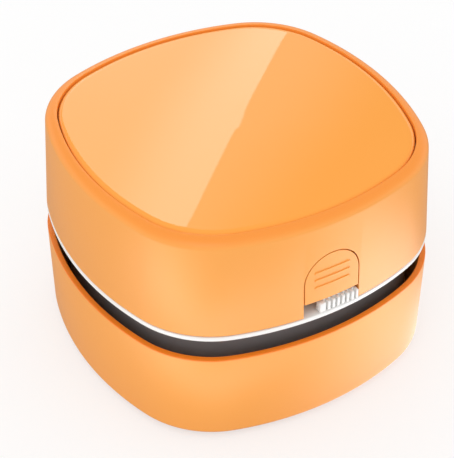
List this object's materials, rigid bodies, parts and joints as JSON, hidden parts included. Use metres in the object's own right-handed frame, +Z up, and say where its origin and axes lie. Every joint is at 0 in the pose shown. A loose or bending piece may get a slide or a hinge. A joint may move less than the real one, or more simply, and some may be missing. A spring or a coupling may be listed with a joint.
{
  "type": "desktop mini vacuum cleaner",
  "caption": "Palm-size square desktop vacuum: lift-off head with fan, motor and batteries on a dust base with brushed suction inlet, slide switch, release button.",
  "frame": {"origin": "on the table, under the middle of the square casing", "axes": "+Z up out of the table; -Y is the front, where the switch and the release button are; +X is to the right seen from the front"},
  "size_m": [0.084, 0.084, 0.0575],
  "materials": {
    "shell_orange": "satin moulded plastic, light orange",
    "panel_orange": "polished plastic, light orange",
    "chassis_white": "white moulded plastic",
    "neck_smoke": "polished dark grey plastic",
    "inner_black": "black moulded plastic with a fine grain",
    "rubber_grey": "soft grey rubber",
    "filter_cloth": "bonded filter fibre",
    "steel": "bright steel",
    "contact_metal": "plated contact metal",
    "cell_wrap": "printed metal wrap, plain green with a copper-coloured end",
    "bristle_black": "black nylon bristle"
  },
  "bodies": {
    "dust_base": {"base_shell": "shell_orange", "dust_cup": "neck_smoke", "brush_holder": "inner_black", "bristle_strip_1": "bristle_black", "bristle_strip_2": "bristle_black", "bristle_strip_3": "bristle_black", "bristle_strip_4": "bristle_black", "glide_pad_1": "rubber_grey", "glide_pad_2": "rubber_grey", "glide_pad_3": "rubber_grey", "glide_pad_4": "rubber_grey", "base_screw_1": "steel", "base_screw_2": "steel", "base_screw_3": "steel", "base_screw_4": "steel"},
    "head": {"chassis": "chassis_white", "neck_seal": "rubber_grey", "filter_frame": "chassis_white", "filter_mesh": "filter_cloth", "fan_housing": "neck_smoke", "fan_screw_1": "steel", "fan_screw_2": "steel", "fan_screw_3": "steel", "fan_screw_4": "steel", "motor_can": "steel", "motor_end_cap": "inner_black", "motor_terminal_1": "contact_metal", "motor_terminal_2": "contact_metal", "motor_screw_1": "steel", "motor_screw_2": "steel", "battery_tray": "inner_black", "tray_screw_1": "steel", "tray_screw_2": "steel", "tray_screw_3": "steel", "tray_screw_4": "steel", "battery_1": "cell_wrap", "battery_2": "cell_wrap", "contact_plate_1": "contact_metal", "contact_plate_2": "contact_metal", "contact_plate_3": "contact_metal", "contact_plate_4": "contact_metal", "contact_spring_1": "steel", "contact_spring_2": "steel", "switch_body": "steel", "hinge_pin": "steel", "button_spring": "steel"},
    "cover": {"upper_shell": "shell_orange", "top_panel": "panel_orange"},
    "button": {"release_button": "shell_orange"},
    "switch": {"switch_knob": "chassis_white"},
    "rotor": {"motor_shaft": "steel", "impeller": "chassis_white"}
  },
  "joints": [
    {"name": "head_lift", "type": "slide", "parent": "dust_base", "child": "head", "axis": [0, 0, 1], "range_m": [0, 0.035]},
    {"name": "cover_lift", "type": "slide", "parent": "head", "child": "cover", "axis": [0, 0, 1], "range_m": [0, 0.03]},
    {"name": "switch_slide", "type": "slide", "parent": "head", "child": "switch", "axis": [-1, 0, 0], "range_m": [0, 0.0036]},
    {"name": "button_press", "type": "hinge", "parent": "head", "child": "button", "pos_m": [0, -0.03745, 0.0368], "axis": [-1, 0, 0], "range_deg": [0, 3.5], "stiffness_Nm_per_rad": 0.01, "springref_deg": -4.58, "deforming": ["button_spring"]},
    {"name": "rotor_spin", "type": "hinge", "parent": "head", "child": "rotor", "pos_m": [0, 0, 0.03], "axis": [0, 0, 1], "continuous": true}
  ]
}
